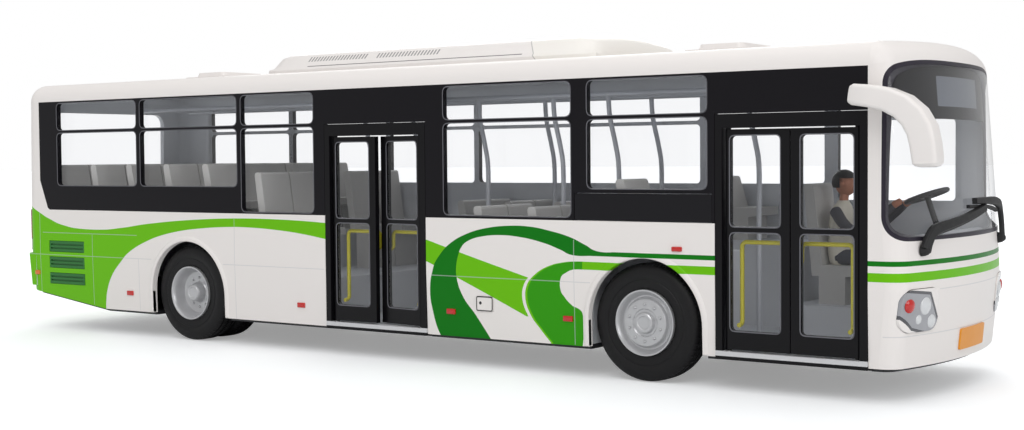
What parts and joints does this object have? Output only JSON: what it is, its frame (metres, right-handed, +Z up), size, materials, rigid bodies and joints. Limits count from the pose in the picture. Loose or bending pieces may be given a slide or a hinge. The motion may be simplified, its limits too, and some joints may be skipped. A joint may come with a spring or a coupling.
{
  "type": "scale model city bus",
  "caption": "Display model of a low-floor city bus with rolling wheels and inward-opening glazed doors.",
  "frame": {"origin": "on the ground, under the middle of the overall box", "axes": "+X forward, +Y to the vehicle's left, +Z up"},
  "size_m": [0.2638, 0.071, 0.0735],
  "materials": {
    "body_paint": "gloss",
    "base_black": "satin",
    "interior_grey": "satin",
    "seat_grey": "satin",
    "figure": "satin",
    "rail_silver": "satin",
    "rail_yellow": "gloss",
    "clear": "clear",
    "display": "gloss",
    "door_black": "gloss",
    "white_plastic": "gloss",
    "lamp": "clear",
    "lamp_red": "gloss",
    "plate_orange": "satin",
    "grille_green": "satin",
    "tyre": "matte",
    "rim": "satin",
    "steel": "brushed"
  },
  "bodies": {
    "body": {"body_shell": "body_paint", "chassis_plate": "base_black", "front_axle": "base_black", "interior_tub": "interior_grey", "seats_right": "seat_grey", "seats_left": "seat_grey", "seats_rear": "seat_grey", "driver_seat": "seat_grey", "driver_figure": "figure", "dashboard": "interior_grey", "steering_wheel": "base_black", "handrails": "rail_silver", "glazing_right": "clear", "glazing_left": "clear", "windscreen": "clear", "rear_window": "clear", "display_front": "display", "display_side": "display", "door_frame_mid": "door_black", "door_frame_front": "door_black", "roof_unit": "white_plastic", "roof_hatches": "white_plastic", "mirror_right": "white_plastic", "mirror_left": "white_plastic", "wipers": "base_black", "headlamps": "lamp", "tail_lamps": "lamp_red", "number_plates": "plate_orange", "fuel_flap": "body_paint", "side_grilles": "grille_green", "rear_bumper": "body_paint", "engine_cover": "white_plastic"},
    "front_wheel_right": {"front_tyre_right": "tyre", "front_rim_right": "rim"},
    "front_wheel_left": {"front_tyre_left": "tyre", "front_rim_left": "rim"},
    "rear_wheels": {"rear_axle": "steel", "rear_tyres": "tyre", "rear_rims": "rim"},
    "door_mid_rear": {"door_mid_rear_leaf": "door_black", "door_mid_rear_glass": "clear", "door_mid_rear_rail": "rail_yellow"},
    "door_mid_front": {"door_mid_front_leaf": "door_black", "door_mid_front_glass": "clear", "door_mid_front_rail": "rail_yellow"},
    "door_front_rear": {"door_front_rear_leaf": "door_black", "door_front_rear_glass": "clear", "door_front_rear_rail": "rail_yellow"},
    "door_front_front": {"door_front_front_leaf": "door_black", "door_front_front_glass": "clear", "door_front_front_rail": "rail_yellow"}
  },
  "joints": [
    {"name": "front_right_roll", "type": "hinge", "parent": "body", "child": "front_wheel_right", "pos_m": [0.06845, -0.025, 0.0122], "axis": [0, 1, 0], "continuous": true},
    {"name": "front_left_roll", "type": "hinge", "parent": "body", "child": "front_wheel_left", "pos_m": [0.06845, 0.025, 0.0122], "axis": [0, 1, 0], "continuous": true},
    {"name": "rear_roll", "type": "hinge", "parent": "body", "child": "rear_wheels", "pos_m": [-0.06565, 0, 0.0122], "axis": [0, 1, 0], "continuous": true},
    {"name": "door_mid_rear_swing", "type": "hinge", "parent": "body", "child": "door_mid_rear", "pos_m": [-0.01505, -0.02795, 0.03], "axis": [0, 0, 1], "range_deg": [0, 80]},
    {"name": "door_mid_front_swing", "type": "hinge", "parent": "body", "child": "door_mid_front", "pos_m": [0.01035, -0.02795, 0.03], "axis": [0, 0, -1], "range_deg": [-8, 72]},
    {"name": "door_front_rear_swing", "type": "hinge", "parent": "body", "child": "door_front_rear", "pos_m": [0.08775, -0.02795, 0.03], "axis": [0, 0, 1], "range_deg": [0, 80]},
    {"name": "door_front_front_swing", "type": "hinge", "parent": "body", "child": "door_front_front", "pos_m": [0.11425, -0.02795, 0.03], "axis": [0, 0, -1], "range_deg": [0, 80]}
  ]
}
